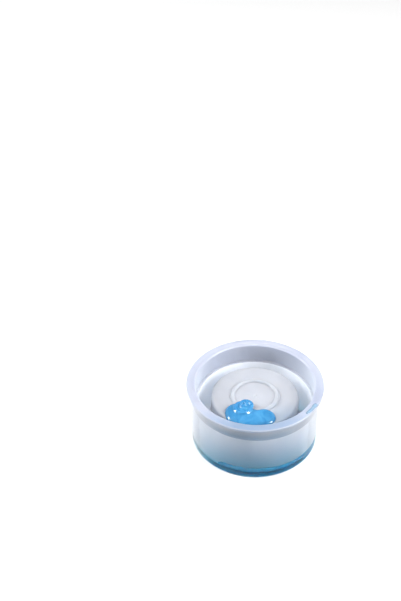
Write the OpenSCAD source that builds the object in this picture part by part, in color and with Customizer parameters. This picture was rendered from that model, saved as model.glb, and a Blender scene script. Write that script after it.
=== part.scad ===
// One-piece silicone mould for casting resin: a round cup with an outward lip,
// a small step inside its wall and a raised round core in the middle. The resin
// lies round the core, on top of it and on the lip.
// Millimetres, +Z up. The origin is at the centre of the base.

/* [Cup] */
// Outside diameter over the lip
rim_d = 80; // [76:1:90]
// Height from the base to the top of the lip
mould_h = 40; // [38:1:50]
// How far the lip stands out from the wall
lip_overhang = 2.6; // [2:0.1:4]
// Thickness of the lip at its outer edge
lip_t = 1.5; // [1.3:0.1:3]
// Wall thickness between the lip and the step
wall_t = 2.9; // [2.4:0.1:3.4]
// Thickness of the floor under the channel
floor_t = 1.6; // [1.4:0.1:3]
// Radius lost by the outside of the wall from the lip to the base
outer_draft = 0.4; // [0.2:0.1:1]

/* [Step inside the wall] */
// Depth of the step below the top of the lip
step_depth = 11.8; // [9:0.1:14]
// How far the wall below the step stands further in
step_w = 1.4; // [0.8:0.1:1.8]

/* [Core] */
// Diameter of the core at its top
core_d = 51.2; // [46:0.2:54]
// Height of the core's top above the base
core_h = 30; // [26:0.5:32]
// Skin of the core, which is hollow from below
core_t = 3; // [2:0.1:4]
// Radius of the rounded edge round the core's top
core_edge_r = 1.2; // [0.8:0.1:2]

/* [Bead on the core] */
// Diameter of the bead at its crest
bead_d = 26.1; // [20:0.1:30]
// Radius of the bead's half-round section
bead_r = 1.45; // [1:0.05:2]
// Height of the bead above the core's top
bead_h = 1.25; // [0.8:0.05:1.4]
// Radius of the gate mark at the centre
gate_r = 0.9; // [0.6:0.1:1.5]

/* [Resin] */
// Depth of the resin in the channel where it lies highest, midway between the core and the wall
pool_depth = 3.3; // [2:0.1:6]
// Slope of the resin's surface in the channel, in degrees
pool_slope = 2.2; // [0:0.1:3]
// Direction in which the resin lies highest, in degrees round +Z
pool_high_a = -120; // [-180:1:0]
// Direction of the resin's left end, in degrees round +Z
pool_a = -128; // [-175:1:-115]
// How far round the channel the resin has spread, in degrees
pool_sweep = 152; // [90:1:200]
// Depth of the puddle on the core
puddle_t = 1.9; // [1:0.1:2.4]
// Height of the mound above the core where the resin lands
mound_h = 3.4; // [2.5:0.1:5]
// Thickness of the sheet that runs down the core's side
run_t = 1; // [0.6:0.1:1.6]
// Direction of the middle of the run, in degrees round +Z
run_a = -99; // [-120:1:-70]
// Width of the run, in degrees
run_sweep = 22; // [10:1:36]
// Thickness of the smear on the lip
smear_t = 0.5; // [0.3:0.1:1]

/* [Hidden] */
$fn = 128;

silicone_color = [0.90, 0.91, 0.95];
resin_color = [0.26, 0.62, 0.88];
smear_color = [0.66, 0.84, 0.95];

// Gap between the resin and the silicone, so that the casting lifts out freely
resin_gap = 0.15;
// Radius gained by the channel and the core over their height, for release
release_draft = 0.35;

rim_r = rim_d / 2;
wall_r = rim_r - lip_overhang;
base_r = wall_r - outer_draft;
upper_r = wall_r - wall_t;
lower_r = upper_r - step_w;
step_z = mould_h - step_depth;
core_r = core_d / 2;
recess_r = core_r - core_t;
recess_h = core_h - core_t;
bead_c = [bead_d / 2, core_h + bead_h - bead_r];
pool_z = floor_t + pool_depth;
// The radius at which the pool's depth is measured
pool_mid_r = (core_r + lower_r) / 2;
// Height above and below the pool's surface that its slope stays within, near the front
pool_rise = 1;
// Size of the block that cuts along the pool's surface
block = 4 * mould_h;

// Radii of the rounded edges and of the fillets between faces
lip_edge_r = 0.65;
lip_root_r = 1;
lip_inner_r = 1.1;
step_edge_r = 0.6;
channel_fillet_r = 1;
base_edge_r = 1.4;
recess_fillet_r = 2;
gate_h = 0.35;

// Points along an arc about c, from angle a0 to angle a1
function arc(c, r, a0, a1, steps = 5) =
    [for (i = [0 : steps]) let (a = a0 + (a1 - a0) * i / steps) c + r * [cos(a), sin(a)]];

// Radius of the core's side and of the channel's outer side at height z
function core_side(z) = core_r + release_draft * (core_h - z) / (core_h - floor_t);
function channel_side(z) = lower_r - release_draft * (step_z - z) / (step_z - floor_t);

// Where the half-round bead leaves the core's top
bead_a = asin((bead_r - bead_h) / bead_r);

// The puddle's round lobes, each [x, y, radius, height above the core]
puddle_lobes = [
    [-10.6, -14.2, 7, puddle_t],
    [-10.5, -18.5, 6.9, puddle_t],
    [-3.5, -18.8, 7.8, puddle_t],
    [4.3, -19, 6.9, puddle_t],
    [-5.1, -10.2, 4.2, mound_h]
];
// The smear's drops, each [direction in degrees, radius]
smear_drops = [[-41, 0.9], [-37.5, 1.4], [-33, 1.7], [-28.5, 1.2]];

// The sections are drawn as [radius, height], and turned about the axis
core_section = concat(
    [[0, recess_h], [0, core_h + gate_h]],
    arc([gate_r - gate_h, core_h], gate_h, 90, 0, 3),
    arc(bead_c, bead_r, 180 - bead_a, bead_a, 10),
    arc([core_r - core_edge_r, core_h - core_edge_r], core_edge_r, 90, 0)
);
channel_section = concat(
    arc([core_side(floor_t) + channel_fillet_r, floor_t + channel_fillet_r], channel_fillet_r, 180, 270),
    arc([channel_side(floor_t) - channel_fillet_r, floor_t + channel_fillet_r], channel_fillet_r, 270, 360),
    arc([lower_r + step_edge_r, step_z - step_edge_r], step_edge_r, 180, 90, 3),
    arc([upper_r - step_edge_r, step_z + step_edge_r], step_edge_r, 270, 360, 3)
);
lip_section = concat(
    arc([upper_r + lip_inner_r, mould_h - lip_inner_r], lip_inner_r, 180, 90),
    arc([rim_r - lip_edge_r, mould_h - lip_edge_r], lip_edge_r, 90, 0),
    arc([rim_r - lip_edge_r, mould_h - lip_t + lip_edge_r], lip_edge_r, 0, -90),
    arc([wall_r + lip_root_r, mould_h - lip_t - lip_root_r], lip_root_r, 90, 180)
);
base_section = concat(
    arc([base_r - base_edge_r, base_edge_r], base_edge_r, 0, -90),
    arc([recess_r + base_edge_r, base_edge_r], base_edge_r, 270, 180),
    arc([recess_r - recess_fillet_r, recess_h - recess_fillet_r], recess_fillet_r, 0, 90)
);

module mould_body() {
    color(silicone_color)
        rotate_extrude()
            polygon(concat(core_section, channel_section, lip_section, base_section));
}

// A block that ends at the pool's sloping surface: above it from offset 0, below it from minus the block's size
module beyond_pool_surface(offset) {
    rotate([0, 0, pool_high_a])
        translate([pool_mid_r, 0, pool_z])
            rotate([0, -pool_slope, 0])
                translate([-block / 2, -block / 2, offset])
                    cube(block);
}

// The resin in the channel, which has not yet spread all the way round or found its level
module resin_pool() {
    low = floor_t + resin_gap;
    corner = channel_fillet_r;
    high = pool_z + pool_rise;
    color(resin_color)
        difference() {
            rotate([0, 0, pool_a])
                rotate_extrude(angle = pool_sweep)
                    polygon(concat(
                        [[core_side(high) + resin_gap, high]],
                        arc([core_side(low) + resin_gap + corner, low + corner], corner, 180, 270),
                        arc([channel_side(low) - resin_gap - corner, low + corner], corner, 270, 360),
                        [[channel_side(high) - resin_gap, high]]
                    ));
            beyond_pool_surface(0);
        }
}

// The sheet of resin that runs down the core's side on to the pool
module resin_run() {
    low = pool_z - pool_rise;
    top = core_h + resin_gap;
    inner = core_side(pool_z) + resin_gap;
    color(resin_color)
        difference() {
            rotate([0, 0, run_a - run_sweep / 2])
                rotate_extrude(angle = run_sweep)
                    polygon([
                        [inner, low],
                        [inner + run_t, low],
                        [inner + run_t, top],
                        [inner, top]
                    ]);
            beyond_pool_surface(-block);
        }
}

// The puddle on the core's front, with the mound where the resin lands
module resin_puddle() {
    run_r = core_side(pool_z) + resin_gap + run_t;
    color(resin_color)
        difference() {
            intersection() {
                for (lobe = puddle_lobes)
                    translate([lobe[0], lobe[1], core_h + resin_gap])
                        cylinder(r = lobe[2], h = lobe[3]);
                cylinder(r = run_r, h = mould_h);
            }
            rotate_extrude()
                translate(bead_c)
                    circle(r = bead_r + resin_gap);
        }
}

// The smear left on the lip: a row of low drops
module rim_smear() {
    middle_r = rim_r - 1.9;
    color(smear_color)
        for (drop = smear_drops)
            rotate([0, 0, drop[0]])
                translate([middle_r, 0, mould_h])
                    cylinder(r = drop[1], h = smear_t);
}

mould_body();
resin_pool();
resin_run();
resin_puddle();
rim_smear();
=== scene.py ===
"""Looks of the resin casting mould: translucent silicone and wet blue resin in soft studio light.

The CAD model gives the frame. The silicone is turned from a finer section, and the resin is
a liquid surface that clings to it. Lengths are in millimetres up to the mesh, then metres.
"""
import math

import bmesh
import bpy
import numpy as np
from mathutils import Matrix, Vector, noise


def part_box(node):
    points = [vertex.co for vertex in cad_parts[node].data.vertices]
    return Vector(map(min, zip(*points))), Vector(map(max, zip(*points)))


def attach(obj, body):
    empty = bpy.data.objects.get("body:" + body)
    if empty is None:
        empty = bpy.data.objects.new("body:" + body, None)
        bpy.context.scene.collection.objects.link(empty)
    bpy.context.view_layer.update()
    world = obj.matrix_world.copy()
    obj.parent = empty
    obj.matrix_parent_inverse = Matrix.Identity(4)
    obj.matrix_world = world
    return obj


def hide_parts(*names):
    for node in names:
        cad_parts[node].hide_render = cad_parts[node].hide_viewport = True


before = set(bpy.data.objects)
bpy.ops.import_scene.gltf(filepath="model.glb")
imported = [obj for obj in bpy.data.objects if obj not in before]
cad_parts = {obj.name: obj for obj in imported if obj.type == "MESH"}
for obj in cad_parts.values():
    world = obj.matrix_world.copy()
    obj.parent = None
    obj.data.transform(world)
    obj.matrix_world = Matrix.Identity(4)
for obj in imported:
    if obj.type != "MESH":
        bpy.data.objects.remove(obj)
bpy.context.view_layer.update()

MM = 0.001

# ---------------------------------------------------------------- sizes, in millimetres

mould_low, mould_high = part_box("mould_body")
smear_low, smear_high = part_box("rim_smear")

RIM_R = mould_high.x / MM
MOULD_H = mould_high.z / MM
SMEAR_Z = smear_high.z / MM

WALL_R = RIM_R - 2.6
BASE_R = WALL_R - 0.4
UPPER_R = WALL_R - 2.9
LOWER_R = UPPER_R - 1.4
STEP_Z = MOULD_H - 11.8
LIP_T = 1.5
FLOOR_T = 1.6
POOL_Z = FLOOR_T + 3.3
POOL_SLOPE = math.tan(math.radians(2.2))
POOL_HIGH_AT = math.radians(-120)
POOL_ENDS = (math.radians(-128), math.radians(24))
POOL_MID_R = (25.6 + LOWER_R) / 2
CORE_R = 25.6
CORE_H = 30.0
CORE_T = 3.0
CORE_EDGE_R = 1.2
BEAD_RING_R = 13.05
BEAD_R = 1.45
BEAD_H = 1.25
GATE_R = 0.9
GATE_H = 0.35
DRAFT = 0.35
CHANNEL_FILLET_R = 1.0
LIP_EDGE_R = 0.65
LIP_ROOT_R = 1.0
LIP_INNER_R = 1.1
STEP_EDGE_R = 0.6
BASE_EDGE_R = 1.4
RECESS_FILLET_R = 2.0
RECESS_R = CORE_R - CORE_T
RECESS_H = CORE_H - CORE_T
BEAD_Z = CORE_H + BEAD_H - BEAD_R


def core_side(z):
    """Radius of the core's side at height z."""
    return CORE_R + DRAFT * (CORE_H - z) / (CORE_H - FLOOR_T)


def channel_side(z):
    """Radius of the channel's outer side at height z."""
    return LOWER_R - DRAFT * (STEP_Z - z) / (STEP_Z - FLOOR_T)


# ---------------------------------------------------------------- meshes

def arc(centre, radius, start, end, steps=8):
    """Points along an arc of a section, from one angle in degrees to another."""
    angles = [math.radians(start + (end - start) * i / steps) for i in range(steps + 1)]
    return [(centre[0] + radius * math.cos(a), centre[1] + radius * math.sin(a)) for a in angles]


def with_holding_points(sections, hold=0.35, longest=3.0):
    """The sections joined into one outline of (radius, height, section's number), with points near the ends
    of its flats, so that smooth shading stays flat there."""
    outline = [(r, z) for section in sections for r, z in section]
    numbers = [i for i, section in enumerate(sections) for _ in section]
    points = []
    for (r0, z0), (r1, z1), number in zip(outline, outline[1:] + outline[:1], numbers):
        points.append((r0, z0, number))
        length = math.hypot(r1 - r0, z1 - z0)
        if length < 3 * hold or (r0 == 0 and r1 == 0):
            continue
        middle = max(1, math.ceil((length - 2 * hold) / longest))
        stops = [hold + (length - 2 * hold) * i / middle for i in range(middle + 1)]
        points += [(r0 + (r1 - r0) * s / length, z0 + (z1 - z0) * s / length, number) for s in stops]
    return points


def finish_mesh(name, vertices, faces, materials, slots=None):
    """A smooth mesh object of vertices in millimetres, with its faces turned outwards."""
    mesh = bpy.data.meshes.new(name)
    mesh.from_pydata([Vector(v) * MM for v in vertices], [], faces)
    work = bmesh.new()
    work.from_mesh(mesh)
    bmesh.ops.recalc_face_normals(work, faces=work.faces)
    work.to_mesh(mesh)
    work.free()
    mesh.polygons.foreach_set("use_smooth", [True] * len(mesh.polygons))
    for material in materials:
        mesh.materials.append(material)
    if slots:
        mesh.polygons.foreach_set("material_index", slots)
    piece = bpy.data.objects.new(name, mesh)
    bpy.context.scene.collection.objects.link(piece)
    return piece


def turned(name, sections, materials, around=192, waver=0.0, waver_size=22.0):
    """A body of revolution from sections of (radius, height), one for each material, made slightly uneven by
    waver."""
    points = with_holding_points(sections)
    vertices, rings = [], []
    for r, z, _ in points:
        if r < 1e-6:
            rings.append([len(vertices)] * around)
            vertices.append((0.0, 0.0, z))
            continue
        rings.append(list(range(len(vertices), len(vertices) + around)))
        for i in range(around):
            turn = 2 * math.pi * i / around
            x, y = r * math.cos(turn), r * math.sin(turn)
            swell = waver * noise.noise(Vector((x, y, z)) / waver_size) * min(1.0, z / 8)
            vertices.append((x * (1 + swell / r), y * (1 + swell / r), z))
    faces, slots = [], []
    for near, far, (_, _, number) in zip(rings, rings[1:] + rings[:1], points):
        if near[0] == near[1] and far[0] == far[1]:
            continue
        for i in range(around):
            j = (i + 1) % around
            corners = [near[i], near[j], far[j], far[i]]
            faces.append(tuple(dict.fromkeys(corners)))
            slots.append(number)
    return finish_mesh(name, vertices, faces, materials, slots)


def surface_net(name, field, low, high, voxel, material):
    """The surface where field(x, y, z) is zero, as quads with one vertex in each cell that it crosses."""
    axes = [np.arange(a, b + voxel, voxel) for a, b in zip(low, high)]
    grid = np.meshgrid(*axes, indexing="ij")
    value = field(*grid)
    for axis in range(3):
        for end in (0, -1):
            np.moveaxis(value, axis, 0)[end] = voxel
    inside = value < 0
    shape = tuple(n - 1 for n in value.shape)
    total = np.zeros(shape + (3,))
    count = np.zeros(shape)
    corners = [(i, j, k) for i in (0, 1) for j in (0, 1) for k in (0, 1)]
    pairs = [(a, b) for a in corners for b in corners if a < b]
    edges = [(a, b) for a, b in pairs if sum(abs(p - q) for p, q in zip(a, b)) == 1]

    def corner(data, c):
        return data[c[0]:c[0] + shape[0], c[1]:c[1] + shape[1], c[2]:c[2] + shape[2]]

    for a, b in edges:
        va, vb = corner(value, a), corner(value, b)
        cross = corner(inside, a) != corner(inside, b)
        t = np.where(cross, va / np.where(cross, va - vb, 1), 0)
        for axis in range(3):
            total[..., axis] += np.where(cross, a[axis] + t * (b[axis] - a[axis]), 0)
        count += cross
    used = count > 0
    index = -np.ones(shape, int)
    index[used] = np.arange(used.sum())
    cells = np.argwhere(used)
    vertices = (cells + total[used] / count[used][:, None]) * voxel + np.array([a[0] for a in axes])
    faces = []
    for axis in range(3):
        u, v = [a for a in range(3) if a != axis]
        step = [0, 0, 0]
        step[axis] = 1
        first = inside[tuple(slice(None, -1) if a == axis else slice(None) for a in range(3))]
        second = inside[tuple(slice(1, None) if a == axis else slice(None) for a in range(3))]
        for p in np.argwhere(first != second):
            quad = []
            for du, dv in ((0, 0), (1, 0), (1, 1), (0, 1)):
                cell = p.copy()
                cell[u] -= du
                cell[v] -= dv
                quad.append(index[tuple(cell)])
            faces.append(tuple(int(q) for q in quad))
    return finish_mesh(name, vertices.tolist(), faces, [material])


# ---------------------------------------------------------------- camera

CAMERA_LENS = 69.9            # mm, on a 36 mm sensor
CAMERA_DISTANCE = 0.70        # along the view's axis, to level with the mould's base
CAMERA_PITCH = math.radians(37.6)
CAMERA_ROLL = math.radians(-0.63)
MOULD_RIGHT_OF_AXIS = 0.0320
MOULD_BELOW_AXIS = 0.0794


def add_camera():
    """The photograph's viewpoint: in front of the mould and above it, with the mould low in the view."""
    ahead = Vector((0, math.cos(CAMERA_PITCH), -math.sin(CAMERA_PITCH)))
    level = Vector((1, 0, 0))
    down = Vector((0, -math.sin(CAMERA_PITCH), -math.cos(CAMERA_PITCH)))
    right = level * math.cos(CAMERA_ROLL) - down * math.sin(CAMERA_ROLL)
    below = level * math.sin(CAMERA_ROLL) + down * math.cos(CAMERA_ROLL)
    place = -ahead * CAMERA_DISTANCE - right * MOULD_RIGHT_OF_AXIS - below * MOULD_BELOW_AXIS
    data = bpy.data.cameras.new("camera")
    data.lens = CAMERA_LENS
    data.sensor_width = 36.0
    data.clip_start = 0.01
    camera = bpy.data.objects.new("camera", data)
    turn = Matrix((right, -below, -ahead)).transposed().to_4x4()
    camera.matrix_world = Matrix.Translation(place) @ turn
    bpy.context.scene.collection.objects.link(camera)
    bpy.context.scene.camera = camera


add_camera()

# ---------------------------------------------------------------- materials


def new_material(name):
    """A material with its own Principled shader. Returns the material, its nodes, links and shader."""
    material = bpy.data.materials.new(name)
    material.use_nodes = True
    nodes, links = material.node_tree.nodes, material.node_tree.links
    return material, nodes, links, nodes["Principled BSDF"]


def noise_node(nodes, links, scale, detail=4.0, roughness=0.5, distortion=0.0):
    """A noise texture in the piece's own space, with scale in features per metre."""
    place = nodes.new("ShaderNodeTexCoord")
    texture = nodes.new("ShaderNodeTexNoise")
    texture.inputs["Scale"].default_value = scale
    texture.inputs["Detail"].default_value = detail
    texture.inputs["Roughness"].default_value = roughness
    texture.inputs["Distortion"].default_value = distortion
    links.new(place.outputs["Object"], texture.inputs["Vector"])
    return texture


def ramp(nodes, links, source, low, high, start=0.3, end=0.7):
    """Maps a texture's value to a colour between low and high, or to a plain value."""
    node = nodes.new("ShaderNodeValToRGB")
    node.color_ramp.elements[0].position = start
    node.color_ramp.elements[1].position = end
    for element, colour in zip(node.color_ramp.elements, (low, high)):
        element.color = (*colour, 1) if len(colour) == 3 else (colour[0],) * 3 + (1,)
    links.new(source, node.inputs["Fac"])
    return node.outputs["Color"]


def bump(nodes, links, source, shader, strength, distance):
    node = nodes.new("ShaderNodeBump")
    node.inputs["Strength"].default_value = strength
    node.inputs["Distance"].default_value = distance
    links.new(source, node.inputs["Height"])
    links.new(node.outputs["Normal"], shader.inputs["Normal"])


def fade(nodes, links, source, start, end):
    """A share that goes from 0 to 1 while source goes from start to end."""
    node = nodes.new("ShaderNodeMapRange")
    node.interpolation_type = "SMOOTHSTEP"
    links.new(source, node.inputs["Value"])
    node.inputs["From Min"].default_value = start
    node.inputs["From Max"].default_value = end
    return node.outputs["Result"]


def mix_painted_light(nodes, links, colour, painted_colour, share, towards, height, reach):
    """Colour mixed by share with a painted colour that stands in for light and shade. height and reach are
    each (where the painted colour begins, where it is full), in metres, along Z and along the direction
    towards."""
    place = nodes.new("ShaderNodeTexCoord")
    split = nodes.new("ShaderNodeSeparateXYZ")
    links.new(place.outputs["Object"], split.inputs["Vector"])
    along = nodes.new("ShaderNodeVectorMath")
    along.operation = "DOT_PRODUCT"
    links.new(place.outputs["Object"], along.inputs[0])
    along.inputs[1].default_value = (math.cos(towards), math.sin(towards), 0)
    by_height = fade(nodes, links, split.outputs["Z"], *height)
    by_reach = fade(nodes, links, along.outputs["Value"], *reach)
    amount = None
    for part in (by_height, by_reach):
        product = nodes.new("ShaderNodeMath")
        product.operation = "MULTIPLY"
        links.new(part, product.inputs[0])
        if amount:
            links.new(amount, product.inputs[1])
        else:
            product.inputs[1].default_value = share
        amount = product.outputs[0]
    mix = nodes.new("ShaderNodeMix")
    mix.data_type = "RGBA"
    links.new(amount, mix.inputs["Factor"])
    links.new(colour, mix.inputs[6])
    mix.inputs[7].default_value = (*painted_colour, 1)
    return mix.outputs[2]


def silicone_material(name, dark, light, clear, rough, painted_colours=(), scatter=0.005, gloss=(1, 1, 1)):
    """Milky translucent silicone. clear is the share of light that goes through its surface, and rough is its
    (least, most) roughness. The colours laid over its tone are painted light and shade: the resin's blue as
    if seen through it and the shade inside the cup, and gloss tints what its surface mirrors."""
    material, nodes, links, shader = new_material(name)
    shader.inputs["IOR"].default_value = 1.41
    shader.inputs["Specular Tint"].default_value = (*gloss, 1)
    shader.inputs["Transmission Weight"].default_value = clear
    shader.inputs["Subsurface Weight"].default_value = 1.0
    shader.inputs["Subsurface Radius"].default_value = (0.8, 0.9, 1.0)
    shader.inputs["Subsurface Scale"].default_value = scatter
    haze = noise_node(nodes, links, 60, 3)
    colour = ramp(nodes, links, haze.outputs["Fac"], dark, light)
    for painted_colour in painted_colours:
        colour = mix_painted_light(nodes, links, colour, *painted_colour)
    links.new(colour, shader.inputs["Base Color"])
    smudge = noise_node(nodes, links, 90, 3, 0.5, 0.3)
    unevenness = ramp(nodes, links, smudge.outputs["Fac"], (rough[0],), (rough[1],))
    links.new(unevenness, shader.inputs["Roughness"])
    skin = noise_node(nodes, links, 300, 2)
    bump(nodes, links, skin.outputs["Fac"], shader, 0.06, 0.0004)
    return material


def resin_material(name, deep, light, transmission, scatter=0.002):
    """Freshly poured pigmented resin: a wet mirror-like surface over a cloudy body."""
    material, nodes, links, shader = new_material(name)
    shader.inputs["IOR"].default_value = 1.52
    shader.inputs["Transmission Weight"].default_value = transmission
    shader.inputs["Subsurface Weight"].default_value = 0.6
    shader.inputs["Subsurface Radius"].default_value = (0.5, 0.8, 1.0)
    shader.inputs["Subsurface Scale"].default_value = scatter
    swirl = noise_node(nodes, links, 130, 3, 0.5, 1.5)
    links.new(ramp(nodes, links, swirl.outputs["Fac"], deep, light), shader.inputs["Base Color"])
    film = noise_node(nodes, links, 300, 2)
    links.new(ramp(nodes, links, film.outputs["Fac"], (0.03,), (0.07,)), shader.inputs["Roughness"])
    bump(nodes, links, swirl.outputs["Fac"], shader, 0.05, 0.0003)
    return material


# Painted light and shade on the silicone, laid on by direction and height in place of deep scattering: the
# resin's blue as if seen through it, and the shade inside the cup, each (colour, share, towards, height,
# reach)
POOL_TOWARDS = math.radians(-50)
RUN_TOWARDS = math.radians(-95)
# painted blue light of the resin in the clear skin, low down on the side towards the pool
SKIN_PAINTED_RESIN_LIGHT = ((0.18, 0.87, 1.0), 0.9, POOL_TOWARDS, (0.008, 0.004), (-0.03, 0.0))
# painted blue shade on the lip, growing towards the front
LIP_PAINTED_BLUE_SHADE = ((0.18, 0.27, 0.39), 0.7, math.radians(-90), (0.030, 0.036), (0.020, 0.038))
# painted blue shade on the upper wall, deepening downwards and towards the front
WALL_PAINTED_BLUE_SHADE = ((0.10, 0.20, 0.32), 0.6, RUN_TOWARDS, (0.0345, 0.0300), (0.020, 0.033))
# painted shade on the wall, growing towards the back
WALL_SHADE = ((0.27, 0.29, 0.35), 0.9, math.radians(90), (0.0, 0.004), (0.0, 0.030))
# painted blue shade on the channel, deepening downwards and towards the front
CHANNEL_PAINTED_BLUE_SHADE = ((0.05, 0.22, 0.37), 0.88, RUN_TOWARDS, (0.036, 0.003), (0.0, 0.036))
# painted dark blue shade on the foot, deepening downwards and towards the pool
FOOT_PAINTED_BLUE_SHADE = ((0.012, 0.23, 0.43), 0.97, POOL_TOWARDS, (0.02, 0.0), (-0.010, 0.006))
# painted blue shade on the core's top, growing towards the front
CORE_PAINTED_BLUE_SHADE = ((0.30, 0.42, 0.56), 0.5, math.radians(-80), (0.0, 0.02), (0.005, 0.024))
SKIN_GLOSS = (0.4, 0.65, 0.85)
# A range of roughness that crosses about 0.27 shows fine cracks after denoising, so each stays on one side
MATT = (0.5, 0.6)

# Lit and shaded copies of one silicone: each zone's tone is painted light and shade, darkest on the lip, its
# edge, the upper wall and the bead, lightest in the channel, the foot and the hollow
skin_silicone = silicone_material(
    "silicone_skin", (0.95, 0.96, 0.98), (0.97, 0.975, 0.99), 1.0, (0.02, 0.05), [SKIN_PAINTED_RESIN_LIGHT],
    gloss=SKIN_GLOSS,
)
lip_silicone = silicone_material(
    "silicone_lip", (0.34, 0.36, 0.44), (0.39, 0.41, 0.48), 0.3, (0.29, 0.36), [LIP_PAINTED_BLUE_SHADE],
)
edge_silicone = silicone_material(
    "silicone_lip_edge", (0.3, 0.32, 0.38), (0.35, 0.37, 0.43), 0.35, (0.31, 0.38),
)
wall_silicone = silicone_material(
    "silicone_upper_wall", (0.38, 0.4, 0.44), (0.44, 0.46, 0.5), 0.15, (0.3, 0.4),
    [WALL_PAINTED_BLUE_SHADE, WALL_SHADE], scatter=0.008,
)
channel_silicone = silicone_material(
    "silicone_channel", (0.6, 0.62, 0.67), (0.66, 0.68, 0.73), 0.25, MATT, [CHANNEL_PAINTED_BLUE_SHADE], scatter=0.012,
)
core_silicone = silicone_material(
    "silicone_core_top", (0.46, 0.48, 0.53), (0.52, 0.54, 0.59), 0.35, (0.4, 0.5), [CORE_PAINTED_BLUE_SHADE],
)
bead_silicone = silicone_material(
    "silicone_bead", (0.4, 0.42, 0.46), (0.45, 0.47, 0.51), 0.35, (0.4, 0.5), [CORE_PAINTED_BLUE_SHADE],
)
disc_silicone = silicone_material(
    "silicone_core_middle", (0.455, 0.475, 0.525), (0.51, 0.53, 0.58), 0.35, (0.4, 0.5),
)
foot_silicone = silicone_material(
    "silicone_foot", (0.55, 0.57, 0.62), (0.62, 0.64, 0.69), 0.04, MATT, [FOOT_PAINTED_BLUE_SHADE],
)
hollow_silicone = silicone_material("silicone_hollow", (0.6, 0.62, 0.66), (0.66, 0.68, 0.72), 0.6, MATT)

resin = resin_material("resin", (0.014, 0.165, 0.365), (0.045, 0.24, 0.455), 0.12)
# A darker copy of the resin: painted shade for the pool deep in the channel
shaded_pool_resin = resin_material("shaded_pool_resin", (0.002, 0.17, 0.33), (0.008, 0.21, 0.39), 0.05, 0.006)
resin_film = resin_material("resin_film", (0.3, 0.48, 0.67), (0.38, 0.54, 0.71), 0.6)

# ---------------------------------------------------------------- the silicone mould


def mould_sections():
    """The mould's half section as in the CAD model, with finer arcs, in the order of MOULD_MATERIALS."""
    bead_end = math.degrees(math.asin((BEAD_R - BEAD_H) / BEAD_R))
    floor_c = FLOOR_T + CHANNEL_FILLET_R
    disc = [(0, CORE_H + GATE_H)]
    disc += arc((GATE_R - GATE_H, CORE_H), GATE_H, 90, 0, 5)
    bead = arc((BEAD_RING_R, BEAD_Z), BEAD_R, 180 - bead_end, bead_end, 16)
    core_top = [bead.pop()] + arc((CORE_R - CORE_EDGE_R, CORE_H - CORE_EDGE_R), CORE_EDGE_R, 90, 0)
    channel = arc((core_side(FLOOR_T) + CHANNEL_FILLET_R, floor_c), CHANNEL_FILLET_R, 180, 270)
    channel += arc((channel_side(FLOOR_T) - CHANNEL_FILLET_R, floor_c), CHANNEL_FILLET_R, 270, 360)
    wall = arc((LOWER_R + STEP_EDGE_R, STEP_Z - STEP_EDGE_R), STEP_EDGE_R, 180, 90, 6)
    wall += arc((UPPER_R - STEP_EDGE_R, STEP_Z + STEP_EDGE_R), STEP_EDGE_R, 270, 360, 6)
    lip = arc((UPPER_R + LIP_INNER_R, MOULD_H - LIP_INNER_R), LIP_INNER_R, 180, 90)
    edge = arc((RIM_R - LIP_EDGE_R, MOULD_H - LIP_EDGE_R), LIP_EDGE_R, 90, 0)
    under = arc((RIM_R - LIP_EDGE_R, MOULD_H - LIP_T + LIP_EDGE_R), LIP_EDGE_R, 0, -90)
    skin = arc((WALL_R + LIP_ROOT_R, MOULD_H - LIP_T - LIP_ROOT_R), LIP_ROOT_R, 90, 180)
    skin += arc((BASE_R - BASE_EDGE_R, BASE_EDGE_R), BASE_EDGE_R, 0, -60)
    foot = arc((BASE_R - BASE_EDGE_R, BASE_EDGE_R), BASE_EDGE_R, -60, -90)
    hollow = arc((RECESS_R + BASE_EDGE_R, BASE_EDGE_R), BASE_EDGE_R, 270, 180)
    hollow += arc((RECESS_R - RECESS_FILLET_R, RECESS_H - RECESS_FILLET_R), RECESS_FILLET_R, 0, 90)
    hollow += [(0, RECESS_H)]
    return [disc, bead, core_top, channel, wall, lip, edge, under, skin, foot, hollow]


MOULD_MATERIALS = [
    disc_silicone, bead_silicone, core_silicone, channel_silicone, wall_silicone, lip_silicone, edge_silicone,
    lip_silicone, skin_silicone, foot_silicone, hollow_silicone,
]
mould = turned("mould", mould_sections(), MOULD_MATERIALS, around=256, waver=0.12)
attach(mould, "mould")
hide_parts("mould_body")

# ---------------------------------------------------------------- the resin

WETTING = 0.12                # how far the resin's surface goes into the silicone's, so that no air shows


def blend_min(a, b, k):
    """The smaller of two distances, rounded over a length k where they meet."""
    h = np.clip(0.5 + 0.5 * (b - a) / k, 0, 1)
    return b + (a - b) * h - k * h * (1 - h)


def core_distance(x, y, z):
    """Distance outside the core's skin, with the bead that stands on it."""
    r = np.hypot(x, y)
    side = r - (core_side(z) - CORE_EDGE_R)
    top = z - (CORE_H - CORE_EDGE_R)
    corner = np.hypot(np.maximum(side, 0), np.maximum(top, 0)) - CORE_EDGE_R
    skin = corner + np.minimum(np.maximum(side, top), 0)
    bead = np.hypot(r - BEAD_RING_R, z - BEAD_Z) - BEAD_R
    return skin, bead


def pool_level(x, y):
    """Height of the resin's sloping surface in the channel."""
    along = x * math.cos(POOL_HIGH_AT) + y * math.sin(POOL_HIGH_AT)
    return POOL_Z + (along - POOL_MID_R) * POOL_SLOPE


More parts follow.
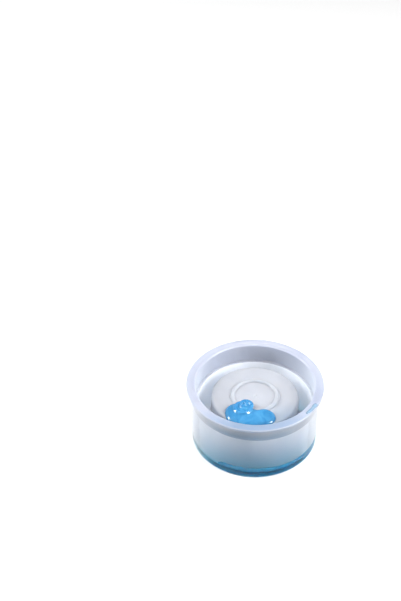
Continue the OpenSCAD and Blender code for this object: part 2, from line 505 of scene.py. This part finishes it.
def pool_field(x, y, z):
    """The resin in the channel: it climbs a little where it wets the walls, and ends in two round fronts."""
    r = np.hypot(x, y)
    from_core = r - core_side(z) + WETTING
    from_wall = channel_side(z) + WETTING - r
    side = CHANNEL_FILLET_R - np.minimum(from_core, from_wall)
    low = CHANNEL_FILLET_R + FLOOR_T - WETTING - z
    corner = np.hypot(np.maximum(side, 0), np.maximum(low, 0)) - CHANNEL_FILLET_R
    channel = corner + np.minimum(np.maximum(side, low), 0)
    turn = np.arctan2(y, x)
    across = np.clip(from_core / (LOWER_R - CORE_R), 0, 1)
    left = (turn - POOL_ENDS[0]) * r + 1.2 * across
    right = (POOL_ENDS[1] - turn) * r - 3.0 * across
    front = np.clip(np.minimum(left, right) / 3.5, 0, 1)
    depth = (pool_level(x, y) - FLOOR_T) * np.sqrt(1 - (1 - front) ** 2)
    climb = 0.6 * np.clip(1 - np.minimum(from_core, from_wall) / 1.3, 0, 1) ** 2.2
    return np.maximum(channel, z - FLOOR_T - depth - climb * front)


RESIN_VOXEL = 0.25

pool = surface_net(
    "pool", pool_field, (-23.5, -34.0, 1.1), (34.0, 16.0, 6.5), RESIN_VOXEL, shaded_pool_resin,
)
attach(pool, "casting")
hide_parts("resin_pool")

# The puddle's lobes, each (x, y, radius)
PUDDLE_LOBES = [(-10.6, -14.2, 6.9), (-10.5, -18.5, 6.8), (-3.5, -18.8, 7.2), (4.3, -19.0, 6.8)]
PUDDLE_T = 1.9
RUN_T = 0.95
RUN_AT = math.radians(-99)
# Turns of the stream on the mound, each (x, y, height, radius, thickness)
COILS = [
    (-7.7, -12.7, 1.9, 4.3, 1.35),
    (-5.6, -10.1, 1.8, 3.2, 1.3),
    (-6.9, -10.2, 3.1, 1.35, 0.7),
    (-4.2, -9.8, 3.2, 1.0, 0.75),
]
# Rounded heaps under them, each (x, y, height of its middle, and its reach along x, y and z)
HEAPS = [
    (-5.6, -10.2, 0.5, 4.0, 4.0, 2.8),
    (-7.7, -12.7, 0.3, 5.0, 5.0, 2.1),
    (-10.4, -13.4, 0.2, 6.2, 5.6, 2.0),
]


def spill_field(x, y, z):
    """The puddle, the mound where the stream lands and the sheet that runs down into the channel."""
    r = np.hypot(x, y)
    skin, bead = core_distance(x, y, z)
    depth = np.maximum(CORE_H - z, 0)
    reach = np.minimum(r, CORE_R) + depth
    stretch = reach / np.maximum(r, 1e-6)
    flat_x, flat_y = x * stretch, y * stretch
    outline = None
    for lobe_x, lobe_y, lobe_r in PUDDLE_LOBES:
        lobe = np.hypot(flat_x - lobe_x, flat_y - lobe_y) - lobe_r
        outline = lobe if outline is None else blend_min(outline, lobe, 2.0)
    turn = np.arctan2(y, x) - RUN_AT
    half = 5.2 - 0.10 * depth + 0.5 * np.sin(depth * 0.35 + 0.6)
    run = np.maximum(np.abs(turn) * CORE_R - half, 21 - reach)
    outline = blend_min(outline, run, 2.5)
    over_edge = np.clip((reach - 23.5) / 4, 0, 1)
    thick = PUDDLE_T + (RUN_T - PUDDLE_T) * over_edge
    shoulder = 2.6 - 1.0 * over_edge
    inward = np.clip(-outline / shoulder, 0, 1)
    height = thick * np.sqrt(np.maximum(1 - (1 - inward) ** 2, 0)) - 0.02
    film = np.maximum(skin - height, outline * 0.8)
    mound = None
    for cx, cy, up, ring, thickness in COILS:
        around = np.hypot(x - cx, y - cy) - ring
        coil = np.hypot(around, z - CORE_H - up) - thickness
        mound = coil if mound is None else blend_min(mound, coil, 0.3)
    for cx, cy, up, reach_x, reach_y, rise in HEAPS:
        aside = ((x - cx) / reach_x) ** 2 + ((y - cy) / reach_y) ** 2
        heap = np.sqrt(aside + ((z - CORE_H - up) / rise) ** 2) - 1
        mound = blend_min(mound, heap * min(reach_x, reach_y, rise), 0.4)
    liquid = blend_min(film, mound, 1.1)
    liquid = np.maximum(liquid, -skin - WETTING)
    return np.maximum(liquid, -bead - WETTING)


spill = surface_net(
    "spill", spill_field,
    (-20.5, -28.4, POOL_Z - 0.6), (12.5, -2.0, CORE_H + 5.5), RESIN_VOXEL, resin,
)
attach(spill, "casting")
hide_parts("resin_puddle", "resin_run")

# The drops that the smear is made of, each (direction in degrees, radius, distance in from the lip's edge)
SMEAR_DROPS = [
    (-43, 0.5, 1.9),
    (-40.5, 0.7, 1.7),
    (-38, 0.75, 1.6),
    (-35.5, 0.7, 1.5),
    (-32.5, 1.0, 1.6),
    (-29.8, 1.1, 1.5),
]


def smear_field(x, y, z):
    """A thin streak of resin along the lip."""
    outline = None
    for degrees, radius, inwards in SMEAR_DROPS:
        turn = math.radians(degrees)
        middle = RIM_R - inwards
        drop = np.hypot(x - middle * math.cos(turn), y - middle * math.sin(turn)) - radius
        outline = drop if outline is None else blend_min(outline, drop, 2.2)
    inward = np.clip(-outline / 1.4, 0, 1)
    height = (SMEAR_Z - MOULD_H) * np.sqrt(np.maximum(1 - (1 - inward) ** 2, 0))
    film = np.maximum(z - MOULD_H - height, outline * 0.7)
    return np.maximum(film, MOULD_H - 0.03 - z)


smear = surface_net(
    "smear", smear_field, (26, -27.5, MOULD_H - 0.5), (37, -15.5, MOULD_H + 1.0), 0.12, resin_film,
)
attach(smear, "mould")
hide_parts("rim_smear")

# ---------------------------------------------------------------- floor and light

# Shares of the sky's brightness that come with the direction's x (either way), y and z
SKY_ASIDE, SKY_BEHIND, SKY_ABOVE = 0.7, 0.2, 0.6
SKY_DIM, SKY_BRIGHT = (0.05, 0.05, 0.055), (1.0, 1.0, 1.0)
SKY_STRENGTH = 1.0
LIT_POINT = (0, 0, 0.03)


def add_floor():
    """A plain white floor, just under the base so that a film of air stays between them."""
    half = 15.0
    gap = 0.0001
    material, _, _, shader = new_material("floor")
    shader.inputs["Base Color"].default_value = (0.68, 0.68, 0.68, 1)
    shader.inputs["Roughness"].default_value = 0.9
    shader.inputs["Specular IOR Level"].default_value = 0.1
    mesh = bpy.data.meshes.new("floor")
    corners = [(-half, -half, -gap), (half, -half, -gap), (half, half, -gap), (-half, half, -gap)]
    mesh.from_pydata(corners, [], [(0, 1, 2, 3)])
    mesh.materials.append(material)
    floor = bpy.data.objects.new("floor", mesh)
    bpy.context.scene.collection.objects.link(floor)


def add_softbox(name, place, width, height, power):
    """A rectangular area light that faces the mould."""
    data = bpy.data.lights.new(name, "AREA")
    data.shape = "RECTANGLE"
    data.size, data.size_y = width, height
    data.energy = power
    light = bpy.data.objects.new(name, data)
    light.location = place
    light.rotation_euler = (Vector(LIT_POINT) - Vector(place)).to_track_quat("-Z", "Y").to_euler()
    bpy.context.scene.collection.objects.link(light)


def add_world():
    """A soft studio: bright at both sides and overhead, dim in front."""
    world = bpy.data.worlds.new("studio")
    world.use_nodes = True
    nodes, links = world.node_tree.nodes, world.node_tree.links
    place = nodes.new("ShaderNodeTexCoord")
    split = nodes.new("ShaderNodeSeparateXYZ")
    links.new(place.outputs["Generated"], split.inputs["Vector"])
    aside = nodes.new("ShaderNodeMath")
    aside.operation = "ABSOLUTE"
    links.new(split.outputs["X"], aside.inputs[0])
    total = None
    parts = [
        (aside.outputs[0], SKY_ASIDE),
        (split.outputs["Y"], SKY_BEHIND),
        (split.outputs["Z"], SKY_ABOVE),
    ]
    for source, share in parts:
        node = nodes.new("ShaderNodeMath")
        node.operation = "MULTIPLY_ADD"
        links.new(source, node.inputs[0])
        node.inputs[1].default_value = share
        if total:
            links.new(total, node.inputs[2])
        else:
            node.inputs[2].default_value = 0.0
        total = node.outputs[0]
    shade = ramp(nodes, links, total, SKY_DIM, SKY_BRIGHT, 0.1, 0.9)
    background = nodes["Background"]
    links.new(shade, background.inputs["Color"])
    background.inputs["Strength"].default_value = SKY_STRENGTH
    bpy.context.scene.world = world


add_floor()
add_world()
add_softbox("left", (-0.68, 0.08, 0.46), 0.30, 0.50, 10.5)
add_softbox("right", (0.62, -0.24, 0.46), 0.30, 0.50, 12.0)
add_softbox("low_left", (-0.60, 0.0, 0.13), 0.20, 0.30, 0.9)
add_softbox("low_right", (0.60, 0.0, 0.13), 0.20, 0.30, 0.9)

bpy.context.scene.view_settings.view_transform = "Standard"
